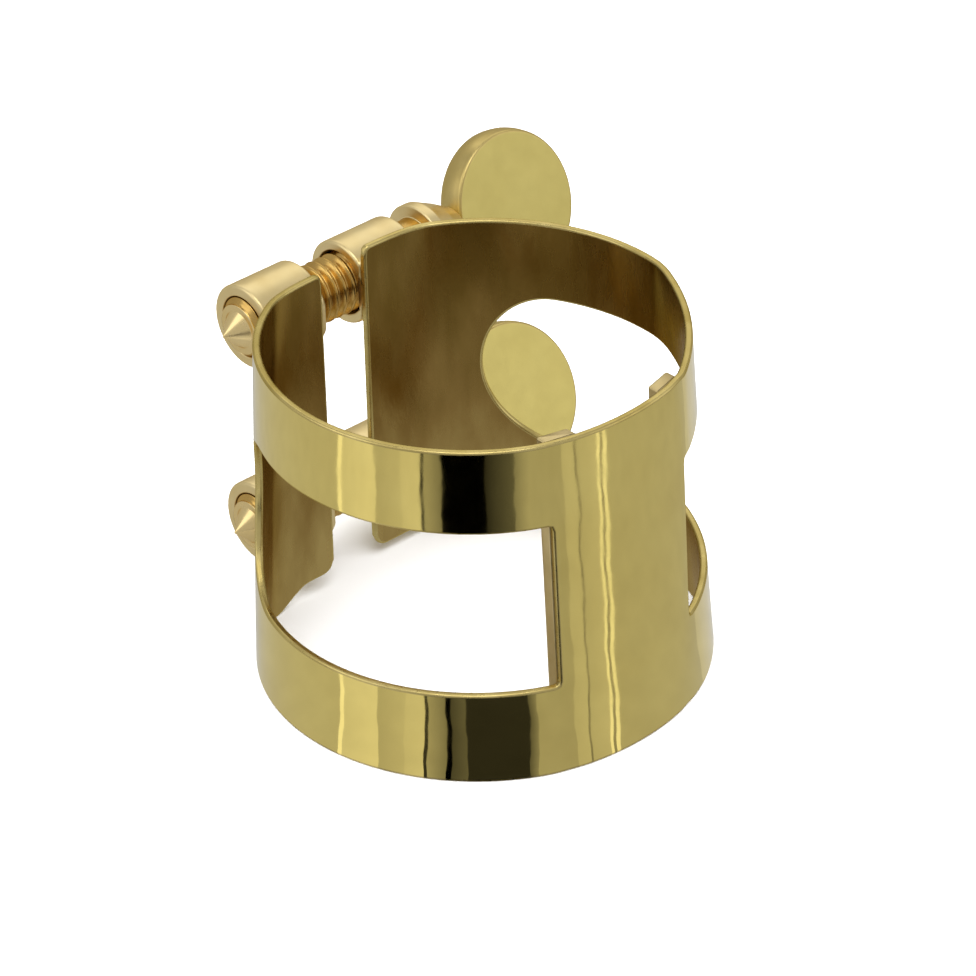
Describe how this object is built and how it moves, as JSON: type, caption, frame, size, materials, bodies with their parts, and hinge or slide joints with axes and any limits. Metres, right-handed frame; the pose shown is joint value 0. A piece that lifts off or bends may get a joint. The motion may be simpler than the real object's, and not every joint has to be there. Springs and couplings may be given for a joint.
{
  "type": "saxophone ligature",
  "caption": "Slightly conical sheet-brass band with a reed plate, side windows and thumbscrews that clamps a reed on a saxophone mouthpiece.",
  "frame": {"origin": "on the mouthpiece axis, in the plane of the wider rim that the ligature stands on", "axes": "+Z along the mouthpiece axis towards its tip, -Y through the reed plate, +Y through the gap between the band's ends, +X along the thumbscrews towards their heads"},
  "size_m": [0.0355, 0.0326, 0.0245],
  "materials": {
    "band_brass": "polished and lacquered outside, brushed inside",
    "post_brass": "satin lacquered",
    "screw_brass": "turned and bright",
    "paddle_brass": "satin lacquered"
  },
  "bodies": {
    "root": {"band": "band_brass", "reed_rail_left": "band_brass", "reed_rail_right": "band_brass", "guide_post_lower": "post_brass", "guide_post_upper": "post_brass"},
    "nut_side": {"nut_post_lower": "post_brass", "nut_post_upper": "post_brass"},
    "upper_screw": {"screw_spindle_upper": "screw_brass", "thumb_paddle_upper": "paddle_brass"},
    "lower_screw": {"screw_spindle_lower": "screw_brass", "thumb_paddle_lower": "paddle_brass"}
  },
  "joints": [
    {"name": "upper_screw_turn", "type": "hinge", "parent": "root", "child": "upper_screw", "pos_m": [0.005, 0.01515, 0.0195], "axis": [-1, 0, 0], "range_deg": [0, 720]},
    {"name": "lower_screw_turn", "type": "hinge", "parent": "root", "child": "lower_screw", "pos_m": [0.005, 0.01515, 0.005], "axis": [-1, 0, 0], "range_deg": [0, 720]},
    {"name": "end_closing", "type": "slide", "parent": "root", "child": "nut_side", "axis": [1, 0, 0], "range_m": [0, 0.0014], "deforming": ["band"]}
  ],
  "couplings": [
    {"joint": "upper_screw_turn", "follows": "end_closing", "rad_per_m": 8975.9},
    {"joint": "lower_screw_turn", "follows": "end_closing", "rad_per_m": 8975.9}
  ]
}
